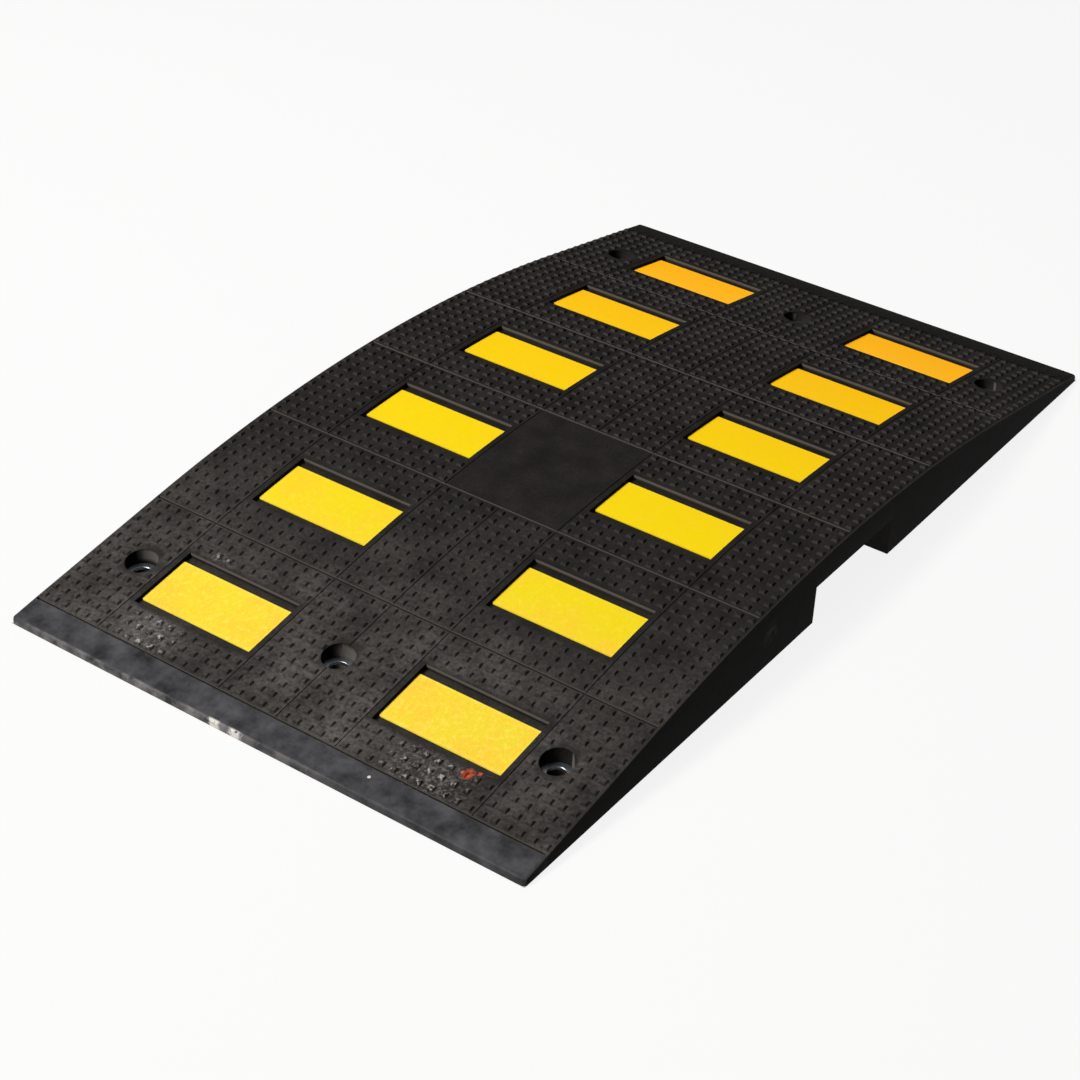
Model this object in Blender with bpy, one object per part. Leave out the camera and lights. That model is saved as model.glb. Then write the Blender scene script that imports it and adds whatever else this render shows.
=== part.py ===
"""One module of a bolt-down rubber speed bump.

The frame has X across the lane, Y along the traffic and Z up, in metres. The origin is on the road,
under the middle of the module.
"""

import math

import bmesh
import bpy
from mathutils import Matrix

# The moulding
LENGTH = 0.900
WIDTH = 0.500
CROWN_HEIGHT = 0.060
LIP_HEIGHT = 0.006
RAMP_LENGTH = 0.168  # the straight slope at each end, where the round crown stops
CORNER_RADIUS = 0.004
CROWN_FACETS = 24
CORNER_FACETS = 4

# The cable and drain channel across the sole
CHANNEL_WIDTH = 0.126
CHANNEL_OFFSET = 0.0105  # the channel lies this far from the crown, towards the far end
WEB_THICKNESS = 0.025  # rubber left above the channel, at the crown

# The tread's panels: rows along Y, and two strip columns between a centre and two side columns
ROWS = 6
SMOOTH_LIP_LENGTH = 0.027
SIDE_COLUMN_WIDTH = 0.067
CENTRE_COLUMN_WIDTH = 0.114
SMOOTH_PANEL_ROW = 2  # this row's centre panel is plain, so the middle groove skips it
CROSS_GROOVE_WIDTH = 0.0025
CROSS_GROOVE_DEPTH = 0.0025
LONG_GROOVE_WIDTH = 0.0020
LONG_GROOVE_DEPTH = 0.0020
GROOVE_END_LAND = 0.0026  # tread left between the end of a cross groove and the side face

# The anti-slip pips on the panels, counted across each column and along each row
PIP_FOOT = 0.0060
PIP_TOP = 0.0040
PIP_HEIGHT = 0.0018
PIP_ROOT = 0.0005  # how deep a pip reaches into the block that it is one with
SIDE_PIPS = 6
STRIP_PIPS = 11
HALF_CENTRE_PIPS = 5
ROW_PIPS = 12
PIP_STEP = 2  # each second pip is modelled, both ways, which keeps the faces few

# The reflective strips and their pockets
STRIP_WIDTH = 0.050
STRIP_THICKNESS = 0.0012
STRIP_END_GAP = 0.003  # pocket floor that shows past each end of a strip
STRIP_SIDE_GAP = 0.006  # and along each of its long sides
POCKET_LAND = 0.003  # tread left between a pocket and the column's groove
POCKET_DEPTH = 0.0045

# The bolt holes: three across each end, a little further in than the outer strips
BOLT_HOLE_DIAMETER = 0.015
BOLT_EDGE_DISTANCE = 0.045
BOLT_END_DISTANCE = 0.102
WASHER_RING_WIDTH = 0.006
WASHER_THICKNESS = 0.0025
WASHER_SEAT_HEIGHT = 0.010  # rubber under a washer
ROUND_FACETS = 32

FIT_GAP = 0.0003  # between a piece and the rubber that it sits in
CUTTER_MARGIN = 0.010  # how far a cutter runs past the face that it cuts
SHORTEST_FACET = 0.0005
MERGE_DISTANCE = 0.000001
ROUND_PROFILE = 0.5  # the bevel shape of a quarter circle
SHARP_ANGLE = 0.6  # edges that turn more than this, in radians, stay crisp

HALF_LENGTH = LENGTH / 2
HALF_WIDTH = WIDTH / 2
CROWN_REACH = HALF_LENGTH - RAMP_LENGTH
CROWN_BEND = (CROWN_HEIGHT - LIP_HEIGHT) / (CROWN_REACH * (LENGTH - CROWN_REACH))
TREAD_REACH = HALF_LENGTH - SMOOTH_LIP_LENGTH
ROW_PITCH = 2 * TREAD_REACH / ROWS
STRIP_COLUMN_WIDTH = HALF_WIDTH - SIDE_COLUMN_WIDTH - CENTRE_COLUMN_WIDTH / 2
STRIP_COLUMN_CENTRE = (CENTRE_COLUMN_WIDTH + STRIP_COLUMN_WIDTH) / 2
POCKET_LENGTH = STRIP_COLUMN_WIDTH - 2 * POCKET_LAND
STRIP_LENGTH = POCKET_LENGTH - 2 * STRIP_END_GAP
POCKET_WIDTH = STRIP_WIDTH + 2 * STRIP_SIDE_GAP
BOLT_HOLE_RADIUS = BOLT_HOLE_DIAMETER / 2
WASHER_RADIUS = BOLT_HOLE_RADIUS + WASHER_RING_WIDTH
COUNTERBORE_RADIUS = WASHER_RADIUS + FIT_GAP


def surface_height(y):
    """Height of the tread surface: a parabola over the crown that runs straight on down each ramp."""
    round_part = min(abs(y), CROWN_REACH)
    straight_part = abs(y) - round_part
    return CROWN_HEIGHT - CROWN_BEND * round_part**2 - 2 * CROWN_BEND * CROWN_REACH * straight_part


def facet_lines(y_low, y_high):
    """The places between two ends where the tread surface has an edge, with the ends."""
    step = 2 * CROWN_REACH / CROWN_FACETS
    crown_lines = [step * i - CROWN_REACH for i in range(CROWN_FACETS + 1)]
    between = [y for y in crown_lines if y_low + SHORTEST_FACET < y < y_high - SHORTEST_FACET]
    return [y_low, *between, y_high]


def row_centre(row):
    return ROW_PITCH * (row + 0.5) - TREAD_REACH


def row_edge(row):
    return ROW_PITCH * row - TREAD_REACH


def extrude_outline(bm, outline, x_low, x_high):
    """Adds a bar with this outline of (y, z) points, from one x to another."""
    face = bm.faces.new([bm.verts.new((x_low, y, z)) for y, z in outline])
    extruded = bmesh.ops.extrude_face_region(bm, geom=[face])["geom"]
    moved = [item for item in extruded if isinstance(item, bmesh.types.BMVert)]
    bmesh.ops.translate(bm, verts=moved, vec=(x_high - x_low, 0, 0))


def add_surface_bar(bm, x_low, x_high, y_low, y_high, z_low, z_high):
    """Adds a bar that follows the tread surface, with its two heights counted from that surface."""
    lines = facet_lines(y_low, y_high)
    under = [(y, surface_height(y) + z_low) for y in lines]
    over = [(y, surface_height(y) + z_high) for y in reversed(lines)]
    extrude_outline(bm, under + over, x_low, x_high)


def add_turned_wall(bm, profile, x, y):
    """Adds a wall turned about a vertical axis through (radius, z) points, open where the profile ends."""
    radius, z = profile[0]
    circle = bmesh.ops.create_circle(
        bm, segments=ROUND_FACETS, radius=radius, matrix=Matrix.Translation((x, y, z))
    )
    edges = list({edge for vertex in circle["verts"] for edge in vertex.link_edges})
    end_rings = [edges]
    for next_radius, next_z in profile[1:]:
        extruded = bmesh.ops.extrude_edge_only(bm, edges=edges)["geom"]
        edges = [item for item in extruded if isinstance(item, bmesh.types.BMEdge)]
        moved = [item for item in extruded if isinstance(item, bmesh.types.BMVert)]
        widen = next_radius / radius
        bmesh.ops.scale(bm, verts=moved, vec=(widen, widen, 1), space=Matrix.Translation((-x, -y, 0)))
        bmesh.ops.translate(bm, verts=moved, vec=(0, 0, next_z - z))
        radius, z = next_radius, next_z
    end_rings.append(edges)
    return end_rings


def finished_mesh(name, bm):
    bmesh.ops.recalc_face_normals(bm, faces=bm.faces)
    mesh = bpy.data.meshes.new(name)
    bm.to_mesh(mesh)
    bm.free()
    return mesh


def add_object(name, mesh, parent=None, location=(0, 0, 0)):
    obj = bpy.data.objects.new(name, mesh)
    obj.location = location
    obj.parent = parent
    bpy.context.scene.collection.objects.link(obj)
    return obj


def principled_material(name, colour, roughness, metallic=0.0):
    material = bpy.data.materials.new(name)
    material.use_nodes = True
    shader = material.node_tree.nodes["Principled BSDF"]
    shader.inputs["Base Color"].default_value = (*colour, 1.0)
    shader.inputs["Roughness"].default_value = roughness
    shader.inputs["Metallic"].default_value = metallic
    return material


def boolean(body, name, bm, operation):
    """Cuts these shapes out of the body or joins them to it, and keeps them as a wire helper."""
    helper = add_object(name, finished_mesh(name, bm), body.parent)
    helper.hide_render = True
    helper.display_type = "WIRE"
    modifier = body.modifiers.new(name, "BOOLEAN")
    modifier.operation = operation
    modifier.solver = "EXACT"
    modifier.object = helper


def moulding(parent):
    """The block before its tread is cut: its side view, with the channel, run across the lane."""
    near_wall = CHANNEL_OFFSET - CHANNEL_WIDTH / 2
    far_wall = CHANNEL_OFFSET + CHANNEL_WIDTH / 2
    ceiling = CROWN_HEIGHT - WEB_THICKNESS
    sole = [
        (-HALF_LENGTH, 0),
        (near_wall, 0),
        (near_wall, ceiling),
        (far_wall, ceiling),
        (far_wall, 0),
        (HALF_LENGTH, 0),
    ]
    lines = facet_lines(-HALF_LENGTH, HALF_LENGTH)
    bm = bmesh.new()
    tread = [(y, surface_height(y)) for y in reversed(lines)]
    extrude_outline(bm, sole + tread, -HALF_WIDTH, HALF_WIDTH)
    ends = [vertex for vertex in bm.verts if abs(vertex.co.y) > HALF_LENGTH - SHORTEST_FACET]
    upright = [
        edge
        for edge in bm.edges
        if edge.verts[0] in ends
        and edge.verts[1] in ends
        and abs(edge.verts[0].co.z - edge.verts[1].co.z) > LIP_HEIGHT / 2
    ]
    bmesh.ops.bevel(
        bm,
        geom=upright,
        offset=CORNER_RADIUS,
        segments=CORNER_FACETS,
        profile=ROUND_PROFILE,
        affect="EDGES",
    )
    return add_object("rubber_body", finished_mesh("rubber_body", bm), parent)


def groove_cutters(body):
    """Shallow grooves that divide the tread into panels, across the lane and along the traffic."""
    across = bmesh.new()
    half_cross = CROSS_GROOVE_WIDTH / 2
    reach = HALF_WIDTH - GROOVE_END_LAND
    for row in range(ROWS + 1):
        y = row_edge(row)
        add_surface_bar(
            across, -reach, reach, y - half_cross, y + half_cross, -CROSS_GROOVE_DEPTH, CUTTER_MARGIN
        )
    boolean(body, "cross_grooves", across, "DIFFERENCE")

    along = bmesh.new()
    half_long = LONG_GROOVE_WIDTH / 2
    column_edge = CENTRE_COLUMN_WIDTH / 2
    runs = [(0, 0, SMOOTH_PANEL_ROW), (0, SMOOTH_PANEL_ROW + 1, ROWS)]
    for x in (column_edge, column_edge + STRIP_COLUMN_WIDTH):
        runs += [(x, 0, ROWS), (-x, 0, ROWS)]
    for x, first_row, last_row in runs:
        y_low = row_edge(first_row)
        y_high = row_edge(last_row)
        add_surface_bar(
            along, x - half_long, x + half_long, y_low, y_high, -LONG_GROOVE_DEPTH, CUTTER_MARGIN
        )
    boolean(body, "long_grooves", along, "DIFFERENCE")


def pocket_cutters(body):
    """A shallow pocket for each strip, with a floor that follows the tread."""
    pockets = bmesh.new()
    for row in range(ROWS):
        y_low = row_centre(row) - POCKET_WIDTH / 2
        for column in (-STRIP_COLUMN_CENTRE, STRIP_COLUMN_CENTRE):
            x_low = column - POCKET_LENGTH / 2
            add_surface_bar(
                pockets,
                x_low,
                x_low + POCKET_LENGTH,
                y_low,
                y_low + POCKET_WIDTH,
                -POCKET_DEPTH,
                CUTTER_MARGIN,
            )
    boolean(body, "strip_pockets", pockets, "DIFFERENCE")


def bolt_places():
    """The six bolt holes by name, as (x, y)."""
    outer_x = HALF_WIDTH - BOLT_EDGE_DISTANCE
    outer_y = HALF_LENGTH - BOLT_END_DISTANCE
    across = {"left": -outer_x, "centre": 0, "right": outer_x}
    along = {"near": -outer_y, "far": outer_y}
    return {f"{end}_{side}": (x, y) for end, y in along.items() for side, x in across.items()}


def pip_columns():
    """Distances of the modelled pips from the middle of the module: in the centre, strip and side columns."""
    edges = [0, CENTRE_COLUMN_WIDTH / 2, HALF_WIDTH - SIDE_COLUMN_WIDTH, HALF_WIDTH]
    counts = [HALF_CENTRE_PIPS, STRIP_PIPS, SIDE_PIPS]
    columns = []
    for low, high, count in zip(edges, edges[1:], counts):
        pitch = (high - low) / count
        columns += [low + pitch * (i + 0.5) for i in range(count)]
    return columns[1::PIP_STEP]


def pip_rows():
    pitch = ROW_PITCH / ROW_PIPS
    return [pitch * (i + 0.5) - TREAD_REACH for i in range(0, ROWS * ROW_PIPS, PIP_STEP)]


def carries_pip(x, y):
    """Whether there is tread for a whole pip here, clear of the pockets, plain panel and bolt holes."""
    half = PIP_FOOT / 2
    row = int((y + TREAD_REACH) / ROW_PITCH)
    beside_strip = abs(abs(x) - STRIP_COLUMN_CENTRE) < POCKET_LENGTH / 2 + half
    in_pocket = beside_strip and abs(y - row_centre(row)) < POCKET_WIDTH / 2 + half
    on_plain_panel = abs(x) < CENTRE_COLUMN_WIDTH / 2 and row == SMOOTH_PANEL_ROW
    clear_of_holes = all(
        math.hypot(x - hole_x, y - hole_y) > COUNTERBORE_RADIUS + half
        for hole_x, hole_y in bolt_places().values()
    )
    return clear_of_holes and not in_pocket and not on_plain_panel


def add_pip(bm, x, y):
    """A square frustum that stands square to the tread."""
    slope = (surface_height(y + PIP_FOOT) - surface_height(y - PIP_FOOT)) / (2 * PIP_FOOT)
    tilt = Matrix.Rotation(math.atan(slope), 4, "X")
    quarter_turn = Matrix.Rotation(math.pi / 4, 4, "Z")
    lift = Matrix.Translation((0, 0, (PIP_HEIGHT - PIP_ROOT) / 2))
    taper = (PIP_FOOT - PIP_TOP) / PIP_HEIGHT
    bmesh.ops.create_cone(
        bm,
        cap_ends=True,
        segments=4,
        radius1=(PIP_FOOT + taper * PIP_ROOT) / math.sqrt(2),
        radius2=PIP_TOP / math.sqrt(2),
        depth=PIP_HEIGHT + PIP_ROOT,
        matrix=Matrix.Translation((x, y, surface_height(y))) @ tilt @ lift @ quarter_turn,
    )


def tread_pips(body):
    """The pips, moulded in one with the panels."""
    bm = bmesh.new()
    for distance in pip_columns():
        for y in pip_rows():
            for x in (-distance, distance):
                if carries_pip(x, y):
                    add_pip(bm, x, y)
    boolean(body, "tread_pips", bm, "UNION")


def bolt_hole_cutters(body):
    """Stepped holes: a bore through the sole, and a counterbore that takes the washer."""
    holes = bmesh.new()
    profile = [
        (BOLT_HOLE_RADIUS, -CUTTER_MARGIN),
        (BOLT_HOLE_RADIUS, WASHER_SEAT_HEIGHT),
        (COUNTERBORE_RADIUS, WASHER_SEAT_HEIGHT),
        (COUNTERBORE_RADIUS, CROWN_HEIGHT + CUTTER_MARGIN),
    ]
    for x, y in bolt_places().values():
        for end_ring in add_turned_wall(holes, profile, x, y):
            bmesh.ops.contextual_create(holes, geom=end_ring)
    boolean(body, "bolt_holes", holes, "DIFFERENCE")


def rubber_body(parent, rubber):
    body = moulding(parent)
    groove_cutters(body)
    pocket_cutters(body)
    bolt_hole_cutters(body)
    tread_pips(body)
    body.data.materials.append(rubber)


def reflective_strips(parent, film):
    """Twelve strips in two columns. Row 1 is at the near end, at -Y."""
    floor = FIT_GAP - POCKET_DEPTH
    for row in range(ROWS):
        y = row_centre(row)
        z = surface_height(y)
        bm = bmesh.new()
        add_surface_bar(
            bm,
            -STRIP_LENGTH / 2,
            STRIP_LENGTH / 2,
            y - STRIP_WIDTH / 2,
            y + STRIP_WIDTH / 2,
            floor,
            floor + STRIP_THICKNESS,
        )
        bmesh.ops.translate(bm, verts=bm.verts, vec=(0, -y, -z))
        mesh = finished_mesh(f"strip_row_{row + 1}", bm)
        mesh.materials.append(film)
        for side, x in (("left", -STRIP_COLUMN_CENTRE), ("right", STRIP_COLUMN_CENTRE)):
            add_object(f"strip_{side}_{row + 1}", mesh, parent, (x, y, z))


def steel_washers(parent, steel):
    """A flat washer at the bottom of each counterbore, all with one mesh."""
    bm = bmesh.new()
    profile = [
        (WASHER_RADIUS, 0),
        (WASHER_RADIUS, WASHER_THICKNESS),
        (BOLT_HOLE_RADIUS, WASHER_THICKNESS),
        (BOLT_HOLE_RADIUS, 0),
        (WASHER_RADIUS, 0),
    ]
    add_turned_wall(bm, profile, 0, 0)
    bmesh.ops.remove_doubles(bm, verts=bm.verts, dist=MERGE_DISTANCE)
    mesh = finished_mesh("washer", bm)
    mesh.shade_smooth()
    mesh.set_sharp_from_angle(angle=SHARP_ANGLE)
    mesh.materials.append(steel)
    for place, (x, y) in bolt_places().items():
        add_object(f"washer_{place}", mesh, parent, (x, y, WASHER_SEAT_HEIGHT + FIT_GAP))


def main():
    for obj in list(bpy.data.objects):
        bpy.data.objects.remove(obj)
    module = add_object("speed_bump_module", None)
    rubber = principled_material("black_rubber", colour=(0.045, 0.043, 0.041), roughness=0.7)
    film = principled_material("yellow_reflective_film", colour=(0.95, 0.62, 0.02), roughness=0.4)
    steel = principled_material(
        "zinc_plated_steel", colour=(0.55, 0.57, 0.60), roughness=0.4, metallic=1.0
    )
    rubber_body(module, rubber)
    reflective_strips(module, film)
    steel_washers(module, steel)


main()
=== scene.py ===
# %% [markdown]
# # A rubber speed bump module
# One module of a bolt-down speed bump: a block of black rubber that cars roll over, with yellow reflective
# strips in shallow pockets and six bolt holes with steel washers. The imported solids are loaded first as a
# fixed frame, so that each detailed piece below takes its place and its size from the solid that it stands
# for.

import math

import bmesh
import bpy
from mathutils import Matrix, Quaternion, Vector


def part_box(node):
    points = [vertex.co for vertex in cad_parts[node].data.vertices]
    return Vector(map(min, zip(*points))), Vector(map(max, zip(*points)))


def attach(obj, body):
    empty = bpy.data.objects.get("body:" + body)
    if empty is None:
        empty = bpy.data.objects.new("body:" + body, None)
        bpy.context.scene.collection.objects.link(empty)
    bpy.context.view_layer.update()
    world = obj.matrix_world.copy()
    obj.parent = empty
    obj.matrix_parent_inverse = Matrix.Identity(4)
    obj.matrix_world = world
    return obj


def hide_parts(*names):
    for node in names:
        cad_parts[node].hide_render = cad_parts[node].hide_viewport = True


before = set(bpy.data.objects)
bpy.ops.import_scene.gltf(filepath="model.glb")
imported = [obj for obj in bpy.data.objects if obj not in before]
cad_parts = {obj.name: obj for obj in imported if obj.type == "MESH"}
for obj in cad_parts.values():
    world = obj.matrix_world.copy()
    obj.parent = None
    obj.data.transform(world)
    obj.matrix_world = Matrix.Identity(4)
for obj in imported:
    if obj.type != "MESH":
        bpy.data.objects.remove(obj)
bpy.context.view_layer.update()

# %% [markdown]
# ## The camera
# The picture was taken from the near right corner, looking down by a third of a right angle, with a long
# lens that keeps the far edge almost as wide as the near one. The camera is aimed at a point by turning its
# -Z axis along the line of sight, and then rolled by the three degrees that the picture leans.

# %% Camera
CAMERA_PLACE = Vector((0.9301, -1.4600, 1.1108))
CAMERA_TARGET = Vector((0.0335, -0.1299, 0.0300))
CAMERA_ROLL = math.radians(2.66)

camera_data = bpy.data.cameras.new("camera")
camera_data.sensor_width = 36
camera_data.lens = 78.6
camera = bpy.data.objects.new("camera", camera_data)
bpy.context.scene.collection.objects.link(camera)
camera.location = CAMERA_PLACE
line_of_sight = CAMERA_TARGET - CAMERA_PLACE
aim = line_of_sight.to_track_quat("-Z", "Y") @ Quaternion((0, 0, 1), CAMERA_ROLL)
camera.rotation_euler = aim.to_euler()
bpy.context.scene.camera = camera
print("camera distance", round(line_of_sight.length, 3), "m")

# %% [markdown]
# ## Helpers for materials
# Colours are written as the hex values that a picture editor shows, and one function turns them into the
# linear values that Blender's sockets hold. A second one adds a shader node, sets its properties and fills
# its inputs: an input takes a number or a colour, or another node's output, which is then linked.

# %% Colour and node helpers
MM = 0.001


def linear(hex_colour):
    channels = [int(hex_colour[i : i + 2], 16) / 255 for i in (1, 3, 5)]
    straight = [c / 12.92 if c <= 0.04045 else ((c + 0.055) / 1.055) ** 2.4 for c in channels]
    return (*straight, 1.0)


def add_node(tree, kind, inputs=None, **settings):
    node = tree.nodes.new(kind)
    for name, value in settings.items():
        setattr(node, name, value)
    for socket, value in (inputs or {}).items():
        if isinstance(value, bpy.types.NodeSocket):
            tree.links.new(value, node.inputs[socket])
        else:
            node.inputs[socket].default_value = value
    return node


def new_material(name):
    material = bpy.data.materials.new(name)
    material.use_nodes = True
    tree = material.node_tree
    return material, tree, tree.nodes["Principled BSDF"]


# %% [markdown]
# ## The tread surface
# Seen from the side, the top of the module is a round crown that runs out into a straight ramp at each end
# and stops at a low lip. One function gives that height for any place along the traffic, and everything
# that lies on the tread uses it.

# %% Side view of the module
body_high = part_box("rubber_body")[1]
HALF_WIDTH = body_high.x
HALF_LENGTH = body_high.y
CROWN_HEIGHT = 60 * MM
LIP_HEIGHT = 6 * MM
RAMP_LENGTH = 168 * MM
CROWN_REACH = HALF_LENGTH - RAMP_LENGTH
CROWN_BEND = (CROWN_HEIGHT - LIP_HEIGHT) / (CROWN_REACH * (2 * HALF_LENGTH - CROWN_REACH))


def tread_height(y):
    round_part = min(abs(y), CROWN_REACH)
    straight_part = abs(y) - round_part
    return CROWN_HEIGHT - CROWN_BEND * round_part**2 - 2 * CROWN_BEND * CROWN_REACH * straight_part


print("tread heights in mm:", [round(tread_height(y * 0.15) / MM, 1) for y in range(4)])

# %% [markdown]
# ## The tread's layout
# Grooves divide the tread into six rows and five columns of panels. Two of the columns hold the strips,
# each in a pocket a little larger than itself. Almost all the rest is covered with small square pips that
# keep tyres from slipping. The strips and washers of the frame say where the rows, pockets and bolt holes
# are.

# %% Rows, columns, pockets and holes
ROWS = 6
SIDES = ("left", "right")
strip_names = [f"strip_{side}_{row}" for side in SIDES for row in range(1, ROWS + 1)]
strip_boxes = {name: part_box(name) for name in strip_names}
STRIP_END_GAP = 0.7 * MM
STRIP_SIDE_GAP = 8 * MM
pocket_boxes = [
    (low.x - STRIP_END_GAP, high.x + STRIP_END_GAP, low.y - STRIP_SIDE_GAP, high.y + STRIP_SIDE_GAP)
    for low, high in strip_boxes.values()
]

SMOOTH_LIP_LENGTH = 27 * MM
SIDE_COLUMN_WIDTH = 67 * MM
CENTRE_COLUMN_WIDTH = 114 * MM
SMOOTH_PANEL_ROW = 2
TREAD_REACH = HALF_LENGTH - SMOOTH_LIP_LENGTH
row_edges = [2 * TREAD_REACH * row / ROWS - TREAD_REACH for row in range(ROWS + 1)]
CENTRE_EDGE = CENTRE_COLUMN_WIDTH / 2
SIDE_EDGE = HALF_WIDTH - SIDE_COLUMN_WIDTH
column_edges = [-HALF_WIDTH, -SIDE_EDGE, -CENTRE_EDGE, 0, CENTRE_EDGE, SIDE_EDGE, HALF_WIDTH]

washer_names = [f"washer_{end}_{place}" for end in ("near", "far") for place in ("left", "centre", "right")]
washer_boxes = {name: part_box(name) for name in washer_names}
FIT_GAP = 0.3 * MM
bolt_axes = [(low + high) / 2 for low, high in washer_boxes.values()]
first_low, first_high = washer_boxes[washer_names[0]]
WASHER_RADIUS = (first_high.x - first_low.x) / 2
WASHER_FOOT = first_low.z
COUNTERBORE_RADIUS = WASHER_RADIUS + FIT_GAP
print("rows at", [round(y, 3) for y in row_edges], "washer radius", round(WASHER_RADIUS, 4))

# %% [markdown]
# ## The moulded body
# A bump map could fake the pips from afar, but their sides catch the light and break up the outline, so
# they are real geometry. The tread starts as a net of quads whose lines follow every groove, pocket and pip
# foot. Quads are then pushed down for the pockets and grooves and raised for the pips, the rim is pulled
# down to the road, and a Boolean cuts the bolt holes and the channel.

# %% Lines of the net
CROSS_GROOVE_WIDTH = 2.5 * MM
LONG_GROOVE_WIDTH = 0.8 * MM
PIP_FOOT = 6.0 * MM
PIPS_ACROSS = (6, 11, 5, 5, 11, 6)
PIPS_PER_ROW = 12
CORNER_RADIUS = 4 * MM
EDGE_ROUND = (SIDE_COLUMN_WIDTH / PIPS_ACROSS[0] - PIP_FOOT) / 2
CLOSEST_LINES = 0.02 * MM


def cell_centres(edges, counts):
    centres = []
    for low, high, count in zip(edges, edges[1:], counts):
        pitch = (high - low) / count
        centres += [low + pitch * (i + 0.5) for i in range(count)]
    return centres


def rim_lines(half):
    """Lines near both edges, for the rounded rim and the rounded corners in plan."""
    turns = [math.radians(angle) for angle in (0, 15, 30, 45, 60, 90)]
    rim = [half - EDGE_ROUND + EDGE_ROUND * math.sin(turn) for turn in turns]
    return [side * line for side in (-1, 1) for line in rim]


def both_sides(centres, half):
    return [centre + side * half for centre in centres for side in (-1, 1)]


def merged(lines):
    kept = []
    for line in sorted(lines):
        if not kept or line - kept[-1] > CLOSEST_LINES:
            kept.append(line)
    return kept


pip_x = cell_centres(column_edges, PIPS_ACROSS)
pip_y = cell_centres(row_edges, [PIPS_PER_ROW] * ROWS)
groove_x = column_edges[1:-1]
groove_reach = HALF_WIDTH - EDGE_ROUND
net_x = merged(
    rim_lines(HALF_WIDTH)
    + both_sides(pip_x, PIP_FOOT / 2)
    + both_sides(groove_x, LONG_GROOVE_WIDTH / 2)
    + [-groove_reach, groove_reach]
    + [x for box in pocket_boxes for x in box[:2]]
)
net_y = merged(
    rim_lines(HALF_LENGTH)
    + both_sides(pip_y, PIP_FOOT / 2)
    + both_sides(row_edges, CROSS_GROOVE_WIDTH / 2)
    + [y for box in pocket_boxes for y in box[2:]]
)
print("net of", len(net_x), "by", len(net_y), "lines")

# %% Net of quads over the whole tread


def rounded_plan(x, y, half_x, half_y, radius):
    """Moves a point near a square corner inwards, so that the corner becomes round in plan."""
    over_x = abs(x) - (half_x - radius)
    over_y = abs(y) - (half_y - radius)
    if over_x <= 0 or over_y <= 0:
        return x, y
    pull = max(over_x, over_y) / math.hypot(over_x, over_y)
    return (
        math.copysign(half_x - radius + over_x * pull, x),
        math.copysign(half_y - radius + over_y * pull, y),
    )


def rim_drop(distance):
    """How far the rounded rim lies below the tread at this distance from the edge."""
    if distance >= EDGE_ROUND:
        return 0
    return EDGE_ROUND - math.sqrt(max(0, EDGE_ROUND**2 - (EDGE_ROUND - distance) ** 2))


def net_point(x, y):
    edge_distance = min(HALF_WIDTH - abs(x), HALF_LENGTH - abs(y))
    plan = rounded_plan(x, y, HALF_WIDTH, HALF_LENGTH, CORNER_RADIUS)
    return (*plan, tread_height(y) - rim_drop(edge_distance))


def add_net(bm, lines_x, lines_y, point):
    """Adds a net of quads, and returns them by the place of their middle before any rounding."""
    rows = [[bm.verts.new(point(x, y)) for x in lines_x] for y in lines_y]
    quads = {}
    for j in range(len(lines_y) - 1):
        for i in range(len(lines_x) - 1):
            face = bm.faces.new((rows[j][i], rows[j][i + 1], rows[j + 1][i + 1], rows[j + 1][i]))
            middle = ((lines_x[i] + lines_x[i + 1]) / 2, (lines_y[j] + lines_y[j + 1]) / 2)
            quads[middle] = face
    return quads


body_mesh = bmesh.new()
tread_quads = add_net(body_mesh, net_x, net_y, net_point)
body_mesh.normal_update()
print("tread quads:", len(tread_quads))

# %% Sort the quads into pockets, grooves and pips
panel_low, panel_high = row_edges[SMOOTH_PANEL_ROW], row_edges[SMOOTH_PANEL_ROW + 1]


def near_one(value, places, reach):
    return any(abs(value - place) < reach for place in places)


def in_pocket(x, y, margin=0.0):
    return any(
        x_low - margin < x < x_high + margin and y_low - margin < y < y_high + margin
        for x_low, x_high, y_low, y_high in pocket_boxes
    )


def on_smooth_panel(x, y):
    return abs(x) < CENTRE_EDGE - LONG_GROOVE_WIDTH and panel_low < y < panel_high


def in_cross_groove(x, y):
    return near_one(y, row_edges, CROSS_GROOVE_WIDTH / 2) and abs(x) < groove_reach


def in_long_groove(x, y):
    in_line = near_one(x, groove_x, LONG_GROOVE_WIDTH / 2) and abs(y) < TREAD_REACH
    return in_line and not on_smooth_panel(x, y)


def has_pip(x, y):
    clear_of_holes = all(
        math.hypot(x - axis.x, y - axis.y) > COUNTERBORE_RADIUS + PIP_FOOT / 2 for axis in bolt_axes
    )
    return clear_of_holes and not in_pocket(x, y, PIP_FOOT / 2) and not on_smooth_panel(x, y)


pip_places = {(x, y) for x in pip_x for y in pip_y if has_pip(x, y)}
pip_columns = {x: [p for p in pip_x if abs(p - x) < PIP_FOOT / 2] for x in {m[0] for m in tread_quads}}
pip_rows = {y: [p for p in pip_y if abs(p - y) < PIP_FOOT / 2] for y in {m[1] for m in tread_quads}}
pocket_quads = []
groove_quads = []
pip_quads = []
for (x, y), face in tread_quads.items():
    if in_pocket(x, y):
        pocket_quads.append(face)
    elif in_cross_groove(x, y) or in_long_groove(x, y):
        groove_quads.append(face)
    elif any((column, row) in pip_places for column in pip_columns[x] for row in pip_rows[y]):
        pip_quads.append(face)
print("pips:", len(pip_places), "pocket quads:", len(pocket_quads), "groove quads:", len(groove_quads))

# %% Raise the pips and sink the pockets and grooves
PIP_HEIGHT = 1.8 * MM
PIP_TAPER = 0.8 * MM
PIP_EDGE = 0.4 * MM
POCKET_DEPTH = 4.5 * MM
LONG_GROOVE_DEPTH = 0.8 * MM
CROSS_GROOVE_DEPTH = 2.5 * MM


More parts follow.
